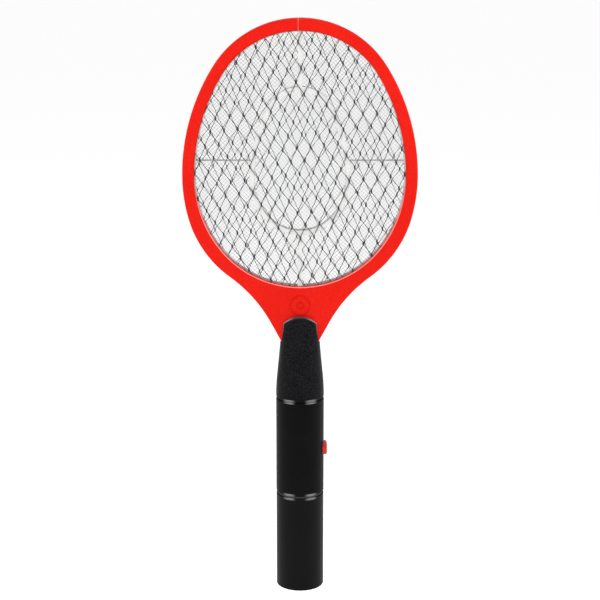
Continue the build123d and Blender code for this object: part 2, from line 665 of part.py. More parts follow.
def centre_net_wire():
    """The red lead from the board up the neck to the middle net."""
    tab_z = 241.0 - 4.0
    points = ((-8.4, BOARD_FRONT, 164.0), (-8.4, -1.5, 164.0), (-8.4, -1.5, 182.0))
    points += ((-6.0, 0, 205.0), (-6.0, 0, tab_z))
    return wire(points, (2.6, 10.0, 10.0))


def outer_net_wire():
    """The black lead from the board up the neck to the front net's tab."""
    tab_face = -HALF_THICK + FACE_WALL + GAP + NET_THICK
    points = ((7.4, BOARD_FRONT, 158.0), (7.4, -1.5, 158.0), (7.4, -1.5, 182.0))
    points += ((6.0, 0, 205.0), (6.0, 0, NET_WIRE_Z), (6.0, tab_face, NET_WIRE_Z))
    return wire(points, (2.6, 10.0, 10.0, 2.4))


def net_link_wire():
    """The short link between the front net's tab and the rear net's tab."""
    face = HALF_THICK - FACE_WALL - GAP - NET_THICK
    return rod_y(7.1, NET_WIRE_Z + 3.0, -face, face, 0.5)


def build():
    """Every node of the swatter, by name."""
    face = HALF_THICK - FACE_WALL - GAP
    spacer_face = face - NET_THICK - GAP
    inside_face = CENTRE_NET_THICK / 2 + GAP
    pair = shell_pair_body()
    inside = handle_form(WALL - 0.2, SHELL_BOTTOM - 1) & slab(arch_region(ARCH_WALL), -30, 30)
    return {
        "head_front_frame": head_front_frame(),
        "head_back_frame": head_back_frame(),
        "front_net": diamond_net(-face, -face + NET_THICK, FRONT_TILT, 6.0),
        "centre_net": centre_net(),
        "rear_net": diamond_net(face - NET_THICK, face, REAR_TILT, 6.0),
        "front_spacer": spacer(-spacer_face, -inside_face),
        "rear_spacer": spacer(inside_face, spacer_face),
        "head_screws": head_screws(),
        "centre_net_wire": centre_net_wire(),
        "outer_net_wire": outer_net_wire(),
        "net_link_wire": net_link_wire(),
        "handle_front_shell": handle_front_shell(pair, inside),
        "handle_back_shell": handle_back_shell(pair, inside),
        "handle_screws": handle_screws(),
        "battery_cap": battery_cap(),
        "battery_cradle": battery_cradle(),
        "battery_left": cell(-CELL_X, True),
        "battery_right": cell(CELL_X, False),
        "bridge_contact": bridge_contact(),
        "spring_contact": spring_contact(),
        "flat_contact": top_contact(-CELL_X),
        "battery_lead_red": battery_lead(-CELL_X, -4.0),
        "battery_lead_black": battery_lead(CELL_X, 4.0),
        "circuit_board": circuit_board(),
        "board_screws": board_screws(),
        "transformer_core": transformer_core(),
        "transformer_bobbin": transformer_bobbin(),
        "transformer_winding": transformer_winding(),
        "film_capacitor": film_capacitor(),
        "disc_capacitors": disc_capacitors(),
        "rectifier_diodes": rectifier_diodes(),
        "resistors": resistors(),
        "oscillator_transistor": oscillator_transistor(),
        "indicator_led": indicator_led(),
        "switch_body": switch_body(),
        "switch_plunger": switch_plunger(),
        "switch_button": switch_button(),
    }


os.makedirs("parts", exist_ok=True)
for node, shape in build().items():
    export_step(shape, f"parts/{node}.step")
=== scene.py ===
import logging
import math
from dataclasses import dataclass
from enum import Enum
from typing import Callable, Union

import bmesh
import bpy
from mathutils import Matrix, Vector
from mathutils.bvhtree import BVHTree


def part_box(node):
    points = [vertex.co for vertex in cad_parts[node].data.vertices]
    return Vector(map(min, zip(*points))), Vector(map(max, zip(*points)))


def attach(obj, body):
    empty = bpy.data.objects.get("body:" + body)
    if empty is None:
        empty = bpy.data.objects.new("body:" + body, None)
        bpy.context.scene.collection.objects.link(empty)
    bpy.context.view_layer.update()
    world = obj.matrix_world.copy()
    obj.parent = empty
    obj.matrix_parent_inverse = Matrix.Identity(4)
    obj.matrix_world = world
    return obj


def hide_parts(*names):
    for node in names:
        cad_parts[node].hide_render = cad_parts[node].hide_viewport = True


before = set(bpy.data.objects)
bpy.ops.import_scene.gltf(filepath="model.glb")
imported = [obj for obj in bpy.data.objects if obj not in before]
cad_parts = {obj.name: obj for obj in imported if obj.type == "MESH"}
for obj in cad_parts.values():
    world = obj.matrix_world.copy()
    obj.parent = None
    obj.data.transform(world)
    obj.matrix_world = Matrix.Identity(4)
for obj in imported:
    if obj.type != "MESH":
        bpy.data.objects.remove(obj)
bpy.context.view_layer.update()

LOG = logging.getLogger("swatter")
MM = 0.001

Colour = tuple[float, float, float, float]
Point = tuple[float, float, float]
Place = tuple[float, float]


def tone(red: float, green: float, blue: float) -> Colour:
    """An opaque colour in linear light."""
    return (red, green, blue, 1.0)


class Body(Enum):
    """The bodies that new pieces ride on."""

    RACKET = "racket"


class Slot(Enum):
    """Names of the model's material slots."""

    NET = "net_metal"
    CENTRE_NET = "centre_net_metal"
    HEAD = "frame_red"
    GRIP = "handle_black"


# --- shader expressions ------------------------------------------------------------


class Signal:
    """A shader socket in an expression; every operator adds one Math node."""

    def __init__(self, graph: "ShaderGraph", socket: bpy.types.NodeSocket) -> None:
        """Keep the graph that the socket belongs to."""
        self.graph = graph
        self.socket = socket

    def _maths(self, operation: str, first: "Operand", second: "Operand") -> "Signal":
        """Add one Math node on two operands."""
        return self.graph.node("ShaderNodeMath", {"operation": operation}, {0: first, 1: second})

    def __add__(self, other: "Operand") -> "Signal":
        """Sum."""
        return self._maths("ADD", self, other)

    def __radd__(self, other: "Operand") -> "Signal":
        """Sum with the number first."""
        return self._maths("ADD", other, self)

    def __sub__(self, other: "Operand") -> "Signal":
        """Difference."""
        return self._maths("SUBTRACT", self, other)

    def __rsub__(self, other: "Operand") -> "Signal":
        """Difference with the number first."""
        return self._maths("SUBTRACT", other, self)

    def __mul__(self, other: "Operand") -> "Signal":
        """Product."""
        return self._maths("MULTIPLY", self, other)

    def __rmul__(self, other: "Operand") -> "Signal":
        """Product with the number first."""
        return self._maths("MULTIPLY", other, self)

    def __pow__(self, other: "Operand") -> "Signal":
        """Power."""
        return self._maths("POWER", self, other)

    def __gt__(self, other: "Operand") -> "Signal":
        """One where the signal is greater, else zero."""
        return self._maths("GREATER_THAN", self, other)

    def __lt__(self, other: "Operand") -> "Signal":
        """One where the signal is less, else zero."""
        return self._maths("LESS_THAN", self, other)

    def __abs__(self) -> "Signal":
        """Size without its sign."""
        return self._maths("ABSOLUTE", self, 0.0)

    def wave(self) -> "Signal":
        """Sine of the signal."""
        return self._maths("SINE", self, 0.0)


Operand = Union[Signal, float]
Feed = Union[Signal, float, Colour, Point]


class ShaderGraph:
    """The node tree of a material or of the world, built one node at a time."""

    def __init__(self, owner: Union[bpy.types.Material, bpy.types.World]) -> None:
        """Start with an empty tree.

        Args:
            owner: The material or the world.
        """
        owner.use_nodes = True
        self.owner = owner
        self.tree = owner.node_tree
        self.tree.nodes.clear()
        self.place = self.node("ShaderNodeTexCoord", out="Object")

    def node(
        self,
        kind: str,
        settings: dict[str, object] | None = None,
        inputs: dict[Union[str, int], Feed] | None = None,
        out: Union[str, int] = 0,
    ) -> Signal:
        """Add a node, set it up and feed its sockets.

        Args:
            kind: The node's type.
            settings: Properties to set first.
            inputs: Values or signals by socket name or number.
            out: The output to return.

        Returns:
            The chosen output as a signal.
        """
        made = self.tree.nodes.new(kind)
        for key, value in (settings or {}).items():
            setattr(made, key, value)
        for key, value in (inputs or {}).items():
            if isinstance(value, Signal):
                self.tree.links.new(value.socket, made.inputs[key])
            else:
                made.inputs[key].default_value = value
        return Signal(self, made.outputs[out])

    def noise(self, size: float, detail: float = 2.0, stretch: Point = (1, 1, 1)) -> Signal:
        """Noise from 0 to 1 whose features have a size in metres.

        Args:
            size: Size of a feature.
            detail: Octaves of finer noise.
            stretch: How much finer the noise is along each axis.

        Returns:
            The noise.
        """
        where = self.node("ShaderNodeMapping", None, {"Vector": self.place, "Scale": stretch})
        inputs = {"Vector": where, "Scale": 1 / size, "Detail": detail}
        return self.node("ShaderNodeTexNoise", None, inputs)

    def cells(self, size: float) -> Signal:
        """Distance to the nearest point of a scatter with a spacing in metres."""
        inputs = {"Vector": self.place, "Scale": 1 / size}
        return self.node("ShaderNodeTexVoronoi", {"feature": "SMOOTH_F1"}, inputs)

    def axis(self, letter: str) -> Signal:
        """One coordinate of the surface, in metres."""
        return self.node("ShaderNodeSeparateXYZ", None, {0: self.place}, out=letter)

    def ramp(self, value: Signal, low: float, high: float) -> Signal:
        """Zero below low, one above high and smooth between them."""
        inputs = {"Value": value, "From Min": low, "From Max": high}
        return self.node("ShaderNodeMapRange", {"interpolation_type": "SMOOTHSTEP"}, inputs)

    def mix(self, share: Feed, first: Feed, second: Feed) -> Signal:
        """Blend two colours."""
        inputs = {0: share, 6: first, 7: second}
        return self.node("ShaderNodeMix", {"data_type": "RGBA"}, inputs, out=2)

    def bump(self, height: Signal, depth: float, below: Signal | None = None) -> Signal:
        """Tilt the surface by a height from 0 to 1.

        Args:
            height: The height.
            depth: What a height of 1 stands for, in metres.
            below: A coarser bump that this one lies on.

        Returns:
            The tilted normal.
        """
        inputs: dict[Union[str, int], Feed] = {"Height": height, "Distance": depth, "Strength": 1.0}
        if below is not None:
            inputs["Normal"] = below
        return self.node("ShaderNodeBump", None, inputs)

    def close(self, kind: str, surface: Signal) -> None:
        """Link the tree's shader to an output node of a kind."""
        output = self.tree.nodes.new(kind)
        self.tree.links.new(surface.socket, output.inputs["Surface"])

    def finish(self, inputs: dict[Union[str, int], Feed]) -> bpy.types.Material:
        """Close the material with its surface shader.

        Args:
            inputs: The shader's sockets.

        Returns:
            The material.
        """
        surface = self.node("ShaderNodeBsdfPrincipled", None, inputs)
        self.close("ShaderNodeOutputMaterial", surface)
        return self.owner


def new_graph(name: str) -> ShaderGraph:
    """An empty tree in a new material."""
    return ShaderGraph(bpy.data.materials.new(name))


# --- finishes ----------------------------------------------------------------------


@dataclass(frozen=True)
class MouldedPlastic:
    """Injection-moulded plastic: a drifting tone, a textured skin, rubbed marks and a painted
    highlight on groove lips.
    """

    name: str
    colour: Colour
    shade: Colour
    roughness: float
    grain: float = 0.0006
    depth: float = 0.00002
    pits: float = 0.0
    coarse_above: float = 0.0
    specular: float = 0.4
    drift: float = 0.03
    rubbed: float = 0.06
    speckle: float = 0.5
    speckle_size: float = 0.0005
    speckle_from: Place = (0.36, 0.64)
    smooth_colour: Colour | None = None
    smooth_speckle: float = 0.45
    smooth_pits: float = 0.22
    coarse_fade: float = 4.0 * MM
    pit_spacing: float = 1.3
    streak: float = 4.0 * MM
    streak_shape: Point = (6.0, 6.0, 0.6)
    streak_from: Place = (0.58, 0.72)
    skin_gloss: float = 0.16
    lips: tuple[float, ...] = ()
    lip_coat: float = 0.8
    lip_coat_roughness: float = 0.13
    lip_reach: float = 1.6 * MM
    # painted highlight: the pale grey laid on the groove lips where lamp highlights fall
    lip_highlight: Colour = (0.20, 0.20, 0.21, 1.0)
    lip_highlight_share: float = 0.6
    lip_starts: Place = (3.0 * MM, 7.5 * MM)
    lip_ends: Place = (10.0 * MM, 14.0 * MM)

    def marks(self, graph: ShaderGraph, colour: Signal) -> Signal:
        """Lay marks that only this moulding has over its colour."""
        return colour

    def _lip_coat_and_highlight_mask(self, graph: ShaderGraph) -> Signal:
        """Where the lips of the grooves get a gloss coat and a painted pale highlight, on both
        sides of their middle.

        Args:
            graph: The material's tree.

        Returns:
            One on the coated and highlighted stretches, else zero.
        """
        aside = abs(graph.axis("X"))
        coated_and_highlighted = graph.ramp(aside, *self.lip_starts) * (1.0 - graph.ramp(aside, *self.lip_ends))
        mask: Operand = 0.0
        for lip in self.lips:
            mask = (abs(graph.axis("Z") - lip) < self.lip_reach) * coated_and_highlighted + mask
        return mask

    def make(self) -> bpy.types.Material:
        """Build the material.

        Returns:
            The material.
        """
        graph = new_graph(self.name)
        skin = graph.noise(self.grain, 3.0)
        cloud = graph.noise(self.drift, 3.0)
        streaks = graph.ramp(graph.noise(self.streak, 2.0, self.streak_shape), *self.streak_from)
        speckle = graph.ramp(graph.noise(self.speckle_size, 1.0), *self.speckle_from)
        body = graph.mix(cloud, self.colour, self.shade)
        share: Operand = self.speckle
        normal = graph.bump(skin, self.depth)
        if self.smooth_colour is not None:
            change = (self.coarse_above - self.coarse_fade, self.coarse_above + self.coarse_fade)
            coarse = graph.ramp(graph.axis("Z"), *change)
            body = graph.mix(coarse, graph.mix(cloud, self.smooth_colour, self.shade), body)
            share = self.speckle * (self.smooth_speckle + (1 - self.smooth_speckle) * coarse)
            deep = self.smooth_pits + (1 - self.smooth_pits) * coarse
            pits = graph.cells(self.grain * self.pit_spacing) * deep
            normal = graph.bump(pits, self.pits, normal)
        painted = graph.mix(speckle * share, body, self.shade)
        inputs: dict[Union[str, int], Feed] = {
            "Roughness": self.roughness + (skin - 0.5) * self.skin_gloss + streaks * self.rubbed,
            "Specular IOR Level": self.specular,
            "Normal": normal,
        }
        if self.lips:
            mask = self._lip_coat_and_highlight_mask(graph)
            # Painted highlight: the lips turn pale grey on both sides of their middle, where the
            # side lamps shine on them.
            painted = graph.mix(mask * self.lip_highlight_share, painted, self.lip_highlight)
            inputs["Coat Weight"] = mask * self.lip_coat
            inputs["Coat Roughness"] = self.lip_coat_roughness
        inputs["Base Color"] = self.marks(graph, painted)
        return graph.finish(inputs)


@dataclass(frozen=True)
class RedMoulding(MouldedPlastic):
    """The red plastic of the head, with its knit line and its raised mark painted darker as shade.
    """

    knit_colour: Colour = (0.86, 0.30, 0.26, 1.0)
    knit_x: Place = (-1.62 * MM, -1.22 * MM)
    knit_above: float = 441.0 * MM
    raised_beyond: float = -7.56 * MM
    raised_shade_colour: Colour = (0.50, 0.003, 0.001, 1.0)
    knit_share: float = 0.7
    raised_shade_share: float = 0.8

    def marks(self, graph: ShaderGraph, colour: Signal) -> Signal:
        """Draw the knit line at the top and paint the raised mark darker, as painted shade.

        Args:
            graph: The material's tree.
            colour: The plastic's colour.

        Returns:
            The colour with its marks.
        """
        across, height = graph.axis("X"), graph.axis("Z")
        knit = (across > self.knit_x[0]) * (across < self.knit_x[1]) * (height > self.knit_above)
        # Painted shade: the raised mark is coloured darker so that it shows as if shaded along its
        # edges.
        raised_shade = graph.axis("Y") < self.raised_beyond
        colour = graph.mix(raised_shade * self.raised_shade_share, colour, self.raised_shade_colour)
        return graph.mix(knit * self.knit_share, colour, self.knit_colour)


@dataclass(frozen=True)
class ShellMoulding(MouldedPlastic):
    """The black plastic of the grip, with a pale highlight painted along the edge of its arch and
    down its sides.
    """

    arch_centre: float = 204.6 * MM
    arch_rim: float = 17.45 * MM
    arch_foot: float = 203.0 * MM
    side_rim: float = 11.5 * MM
    side_lean: float = 0.14
    shell_top: float = 222.6 * MM
    # painted highlight: the pale grey laid on the arch's edges
    painted_highlight: Colour = (0.34, 0.36, 0.38, 1.0)
    rim_soft: float = 0.5 * MM
    rim_middle: float = 0.25
    corners: Place = (4.0 * MM, 9.0 * MM)
    side_soft: Place = (-0.6 * MM, 0.3 * MM)
    side_fade: float = 10.0 * MM
    rim_share: float = 0.9
    side_share: float = 0.35
    patch: float = 1.6 * MM
    patch_least: float = 0.45

    def marks(self, graph: ShaderGraph, colour: Signal) -> Signal:
        """Paint a pale highlight on the arch's rim and the sides below it.

        Args:
            graph: The material's tree.
            colour: The plastic's colour.

        Returns:
            The colour with its painted highlight.
        """
        across, height = abs(graph.axis("X")), graph.axis("Z")
        above = height - self.arch_centre
        from_centre = (across * across + above * above) ** 0.5
        corners = graph.ramp(across, *self.corners)
        rim = graph.ramp(from_centre, self.arch_rim, self.arch_rim + self.rim_soft)
        rim = rim * (self.rim_middle + (1 - self.rim_middle) * corners) * (above > 0.0)
        beside = across + (height - self.shell_top) * self.side_lean
        side = graph.ramp(beside, *(self.side_rim + reach for reach in self.side_soft))
        side = side * graph.ramp(height, self.arch_foot, self.arch_foot + self.side_fade)
        front = graph.axis("Y") < 0.0
        patchy = self.patch_least + (1 - self.patch_least) * graph.noise(self.patch, 2.0)
        # Painted highlight, patchy and on the front only, where the lamps catch the arch's edges.
        painted_highlight = (rim * self.rim_share + side * self.side_share) * front * patchy
        return graph.mix(painted_highlight, colour, self.painted_highlight)


@dataclass(frozen=True)
class CollarMoulding(MouldedPlastic):
    """The red collar round the opening: a glossy lip with a painted pale highlight, and a wall
    behind it coloured darker as painted shade.
    """

    lip_highlight_colour: Colour = (0.95, 0.24, 0.21, 1.0)
    lip_from: float = -6.75 * MM
    lip_to: float = -6.35 * MM
    fade_from: float = 300.0 * MM
    fade_to: float = 345.0 * MM

    def marks(self, graph: ShaderGraph, colour: Signal) -> Signal:
        """Paint the pale highlight of the lip over the wall's colour, only low in the opening.

        Args:
            graph: The material's tree.
            colour: The wall's colour, a dark red that is painted shade.

        Returns:
            The colour with the lip's painted highlight.
        """
        front = 1.0 - graph.ramp(graph.axis("Y"), self.lip_from, self.lip_to)
        low = 1.0 - graph.ramp(graph.axis("Z"), self.fade_from, self.fade_to)
        # Painted highlight on the lip, fading out towards the top of the opening.
        return graph.mix(front * low, colour, self.lip_highlight_colour)


@dataclass(frozen=True)
class Metal:
    """Sheet metal, plating or wire: drawn lines, dull patches and a slight ripple."""

    name: str
    colour: Colour
    dull: Colour
    roughness: float
    metallic: float = 1.0
    patch: float = 0.004
    lines: Point = (8.0, 8.0, 1.0)
    depth: float = 0.000008
    line: float = 1.2 * MM
    patch_from: Place = (0.35, 0.68)
    patch_dulls: float = 0.16
    line_dulls: float = 0.2
    patch_bares: float = 0.12

    def make(self) -> bpy.types.Material:
        """Build the material.

        Returns:
            The material.
        """
        graph = new_graph(self.name)
        patches = graph.ramp(graph.noise(self.patch, 3.0), *self.patch_from)
        drawn = graph.noise(self.line, 2.0, self.lines)
        dulled = patches * self.patch_dulls + (drawn - 0.5) * self.line_dulls
        return graph.finish(
            {
                "Base Color": graph.mix(patches, self.colour, self.dull),
                "Roughness": self.roughness + dulled,
                "Metallic": self.metallic - patches * self.patch_bares,
                "Normal": graph.bump(drawn, self.depth),
            }
        )


@dataclass(frozen=True)
class Band:
    """A coloured stretch along Z, from low to high in metres."""

    low: float
    high: float
    colour: Colour
    metallic: float = 0.0


@dataclass(frozen=True)
class Banded:
    """A round part whose printed bands or metal ends follow its length."""

    name: str
    colour: Colour
    bands: tuple[Band, ...]
    roughness: float = 0.35
    coat: float = 0.3
    grain: float = 0.0008
    ragged: float = 0.06 * MM
    darker: float = 0.7
    skin_gloss: float = 0.14
    depth: float = 0.000012

    def make(self) -> bpy.types.Material:
        """Build the material.

        Returns:
            The material.
        """
        graph = new_graph(self.name)
        speckle = graph.noise(self.grain, 3.0)
        height = graph.axis("Z") + (speckle - 0.5) * self.ragged
        shaded = tone(*(part * self.darker for part in self.colour[:3]))
        colour: Feed = graph.mix(speckle * 0.5, self.colour, shaded)
        metal: Operand = 0.0
        for band in self.bands:
            inside = (height > band.low) * (height < band.high)
            colour = graph.mix(inside, colour, band.colour)
            metal = inside * band.metallic + metal
        return graph.finish(
            {
                "Base Color": colour,
                "Metallic": metal,
                "Roughness": self.roughness + (speckle - 0.5) * self.skin_gloss,
                "Coat Weight": self.coat,
                "Normal": graph.bump(speckle, self.depth),
            }
        )


@dataclass(frozen=True)
class BoardMask:
    """A circuit board's solder mask over raised copper tracks."""

    name: str
    mask: Colour
    track: Colour
    pitch: float = 3.6 * MM
    wander: float = 12.0 * MM
    weave: float = 0.5 * MM
    track_from: Place = (0.28, 0.4)
    roughness: float = 0.34
    weave_gloss: float = 0.2
    weave_height: float = 0.2
    depth: float = 0.00003

    def make(self) -> bpy.types.Material:
        """Build the material.

        Returns:
            The material.
        """
        graph = new_graph(self.name)
        across = abs((graph.axis("X") * (2 * math.pi / self.pitch)).wave())
        bends = graph.noise(self.wander, 0.0)
        along = abs(((graph.axis("Z") + bends * self.wander) * (math.pi / self.pitch)).wave())
        tracks = graph.ramp(across * along, *self.track_from)
        weave = graph.noise(self.weave, 2.0)
        height = tracks * (1 - self.weave_height) + weave * self.weave_height
        return graph.finish(
            {
                "Base Color": graph.mix(tracks, self.mask, self.track),
                "Roughness": self.roughness + (weave - 0.5) * self.weave_gloss,
                "Normal": graph.bump(height, self.depth),
            }
        )


@dataclass(frozen=True)
class WoundTape:
    """Yellow tape round a winding, with the turns of wire showing through it."""

    name: str
    colour: Colour
    shade: Colour
    turn: float = 0.4 * MM
    crease: float = 3.0 * MM
    turn_shade: float = 0.35
    crease_shade: float = 0.4
    roughness: float = 0.3
    crease_dulls: float = 0.2
    depth: float = 0.00003

    def make(self) -> bpy.types.Material:
        """Build the material.

        Returns:
            The material.
        """
        graph = new_graph(self.name)
        turns = abs((graph.axis("Z") * (math.pi / self.turn)).wave())
        creases = graph.noise(self.crease, 3.0)
        shaded = turns * self.turn_shade + creases * self.crease_shade
        return graph.finish(
            {
                "Base Color": graph.mix(shaded, self.colour, self.shade),
                "Roughness": self.roughness + creases * self.crease_dulls,
                "Normal": graph.bump(turns, self.depth),
            }
        )


RED = RedMoulding(
    "red_moulding",
    tone(0.74, 0.014, 0.006),
    tone(0.58, 0.006, 0.002),
    0.42,
    0.0007,
    0.000012,
    specular=0.07,
    speckle=0.7,
    speckle_size=0.0012,
)
# Painted shade: the collar's wall is a darker, duller red than the head.
COLLAR_SHADED_RED = CollarMoulding(
    "red_collar_painted_light",
    tone(0.55, 0.045, 0.040),
    tone(0.40, 0.030, 0.026),
    0.30,
    0.0009,
    0.000008,
    specular=0.3,
)
SPARKED_BLACK = ShellMoulding(
    "spark_textured_black",
    tone(0.0200, 0.0196, 0.0225),
    tone(0.0006, 0.0006, 0.0008),
    0.46,
    0.00075,
    0.00002,
    pits=0.0002,
    coarse_above=0.1585,
    specular=0.05,
    speckle=1.0,
    speckle_size=0.0008,
    speckle_from=(0.42, 0.62),
    smooth_colour=tone(0.0046, 0.0045, 0.0054),
    lips=(0.1564, 0.0795),
)
SATIN_BLACK = MouldedPlastic(
    "satin_black",
    tone(0.0042, 0.0041, 0.0049),
    tone(0.0015, 0.0015, 0.0018),
    0.46,
    0.0006,
    0.00001,
    specular=0.07,
    lips=(0.0777,),
)
CRADLE_BLACK = MouldedPlastic(
    "cradle_black", tone(0.018, 0.018, 0.019), tone(0.010, 0.010, 0.011), 0.5, 0.0008, 0.000012
)
SPACER_WHITE = MouldedPlastic(
    "natural_white_plastic", tone(0.66, 0.66, 0.65), tone(0.58, 0.58, 0.57), 0.4, 0.0008, 0.00001
)
BUTTON_RED = MouldedPlastic(
    "glossy_red",
    tone(0.56, 0.012, 0.010),
    tone(0.46, 0.009, 0.007),
    0.24,
    0.0006,
    0.000004,
    specular=0.3,
)
LAMP_RED = MouldedPlastic(
    "lamp_red",
    tone(0.55, 0.02, 0.015),
    tone(0.4, 0.01, 0.008),
    0.08,
    0.0006,
    0.000002,
    specular=0.6,
)
# Painted shade: both slit nets' metal is coloured far darker than bare metal, so that the strands
# stand dark against the light.
NET_METAL = Metal("slit_net_metal", tone(0.024, 0.025, 0.027), tone(0.014, 0.015, 0.016), 0.42, 0.3)
REAR_NET_METAL = Metal(
    "slit_net_metal_rear", tone(0.085, 0.086, 0.088), tone(0.055, 0.056, 0.058), 0.45, 0.35
)
CENTRE_METAL = Metal("fine_net_metal", tone(0.22, 0.22, 0.225), tone(0.16, 0.16, 0.165), 0.4, 0.5)
ZINC = Metal(
    "zinc_screw", tone(0.55, 0.56, 0.58), tone(0.35, 0.36, 0.37), 0.3, 1.0, 0.002, (1.0, 8.0, 8.0)
)
NICKEL = Metal("nickel_contact", tone(0.62, 0.59, 0.54), tone(0.45, 0.43, 0.40), 0.25, 1.0, 0.003)
FERRITE = MouldedPlastic(
    "ferrite",
    tone(0.03, 0.03, 0.032),
    tone(0.012, 0.012, 0.013),
    0.62,
    0.0005,
    0.00003,
    drift=0.004,
)
BOBBIN = MouldedPlastic(
    "bobbin_plastic", tone(0.05, 0.045, 0.04), tone(0.03, 0.028, 0.025), 0.4, 0.0006, 0.00001
)
SWITCH_BLACK = MouldedPlastic(
    "switch_black", tone(0.014, 0.014, 0.015), tone(0.008, 0.008, 0.009), 0.35, 0.0006, 0.00001
)
WIRE_RED = MouldedPlastic(
    "wire_red", tone(0.55, 0.015, 0.012), tone(0.42, 0.01, 0.01), 0.35, 0.0009, 0.00002
)
WIRE_BLACK = MouldedPlastic(
    "wire_black", tone(0.015, 0.015, 0.016), tone(0.008, 0.008, 0.008), 0.35, 0.0009, 0.00002
)
FILM = MouldedPlastic(
    "dipped_film", tone(0.42, 0.10, 0.03), tone(0.32, 0.07, 0.02), 0.18, 0.0012, 0.00003
)
DISC = MouldedPlastic(
    "disc_ceramic", tone(0.08, 0.17, 0.42), tone(0.05, 0.12, 0.33), 0.38, 0.0007, 0.00004
)
MOULD_BLACK = MouldedPlastic(
    "epoxy_black", tone(0.02, 0.02, 0.021), tone(0.012, 0.012, 0.012), 0.5, 0.0004, 0.00001
)
BARE_STEEL = tone(0.55, 0.55, 0.56)
SLEEVE_PALE = tone(0.62, 0.63, 0.60)
SLEEVE_TEAL = tone(0.03, 0.16, 0.20)
DIODE_BLACK = tone(0.012, 0.012, 0.013)
RESISTOR_TAN = tone(0.62, 0.46, 0.28)
RESISTOR_RINGS = (
    (-2.0 * MM, tone(0.25, 0.10, 0.03)),
    (-0.9 * MM, tone(0.02, 0.02, 0.02)),
    (0.2 * MM, tone(0.55, 0.20, 0.02)),
    (1.8 * MM, tone(0.5, 0.38, 0.10)),
)
FLOOR_WHITE = tone(0.93, 0.93, 0.93)
FLOOR_SHADE = tone(0.91, 0.91, 0.91)
BOARD = BoardMask("board_mask", tone(0.02, 0.13, 0.05), tone(0.05, 0.24, 0.10))
TAPE = WoundTape("winding_tape", tone(0.75, 0.52, 0.06), tone(0.52, 0.30, 0.05))


# --- geometry nodes ----------------------------------------------------------------


class FormTree:
    """A Geometry Nodes tree with named inputs, built one node at a time."""

    def __init__(self, name: str, inputs: dict[str, str]) -> None:
        """Start a tree.

        Args:
            name: The tree's name.
            inputs: Socket type of each named input, after the geometry.
        """
        self.tree = bpy.data.node_groups.new(name, "GeometryNodeTree")
        face = self.tree.interface
        face.new_socket("Geometry", in_out="INPUT", socket_type="NodeSocketGeometry")
        for label, kind in inputs.items():
            face.new_socket(label, in_out="INPUT", socket_type=kind)
        face.new_socket("Geometry", in_out="OUTPUT", socket_type="NodeSocketGeometry")
        self.given = self.tree.nodes.new("NodeGroupInput")

    def named(self, label: str) -> bpy.types.NodeSocket:
        """One of the tree's inputs."""
        return self.given.outputs[label]

    def node(
        self,
        kind: str,
        settings: dict[str, object] | None = None,
        inputs: dict[Union[str, int], object] | None = None,
        out: Union[str, int] = 0,
    ) -> bpy.types.NodeSocket:
        """Add a node, set it up and feed its sockets.

        Args:
            kind: The node's type.
            settings: Properties to set first.
            inputs: Values, a socket or a list of sockets, by socket name or number.
            out: The output to return.

        Returns:
            The chosen output.
        """
        made = self.tree.nodes.new(kind)
        for key, value in (settings or {}).items():
            setattr(made, key, value)
        for key, value in (inputs or {}).items():
            feeds = value if isinstance(value, list) else [value]
            for feed in feeds:
                if isinstance(feed, bpy.types.NodeSocket):
                    self.tree.links.new(feed, made.inputs[key])
                else:
                    made.inputs[key].default_value = feed
        return made.outputs[out]

    def close(self, parts: list[bpy.types.NodeSocket]) -> None:
        """Join the parts, realize what is instanced and give the material.

        Args:
            parts: The geometry to join.
        """
        joined = self.node("GeometryNodeJoinGeometry", None, {0: list(reversed(parts))})
        real = self.node("GeometryNodeRealizeInstances", None, {0: joined})
        inputs = {"Geometry": real, "Material": self.named("Material")}
        dressed = self.node("GeometryNodeSetMaterial", None, inputs)
        output = self.tree.nodes.new("NodeGroupOutput")
        self.tree.links.new(dressed, output.inputs[0])

    def grow(
        self, name: str, seed_mesh: bpy.types.Mesh, values: dict[str, object]
    ) -> bpy.types.Object:
        """Run the tree on a mesh and keep the result as a plain mesh.

        Args:
            name: Name of the finished piece.
            seed_mesh: The mesh that goes in.
            values: The named inputs' values.

        Returns:
            The finished piece, without a modifier.
        """
        source = link_object(name + "_plan", seed_mesh)
        modifier = source.modifiers.new("form", "NODES")
        modifier.node_group = self.tree
        for socket in self.tree.interface.items_tree:
            if socket.item_type == "SOCKET" and socket.in_out == "INPUT" and socket.name in values:
                modifier[socket.identifier] = values[socket.name]
        graph = bpy.context.evaluated_depsgraph_get()
        mesh = bpy.data.meshes.new_from_object(source.evaluated_get(graph))
        mesh.name = name
        source.modifiers.remove(modifier)
        bpy.data.objects.remove(source)
        bpy.data.meshes.remove(seed_mesh)
        return link_object(name, mesh)


def link_object(name: str, data: bpy.types.ID) -> bpy.types.Object:
    """Put new data into the scene as an object at the origin."""
    made = bpy.data.objects.new(name, data)
    bpy.context.scene.collection.objects.link(made)
    return made


def node_shape(name: str) -> BVHTree:
    """A CAD node's surface, ready to be measured with rays."""
    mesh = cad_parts[name].data
    corners = [vertex.co.copy() for vertex in mesh.vertices]
    return BVHTree.FromPolygons(corners, [face.vertices[:] for face in mesh.polygons])


def link_form(name: str, form: bmesh.types.BMesh, material: bpy.types.Material) -> bpy.types.Object:
    """Turn a finished form into an object with a material.

    Args:
        name: The object's name.
        form: The form, which is used up.
        material: The material.

    Returns:
        The object.
    """
    mesh = bpy.data.meshes.new(name)
    form.to_mesh(mesh)
    form.free()
    mesh.materials.append(material)
    return link_object(name, mesh)


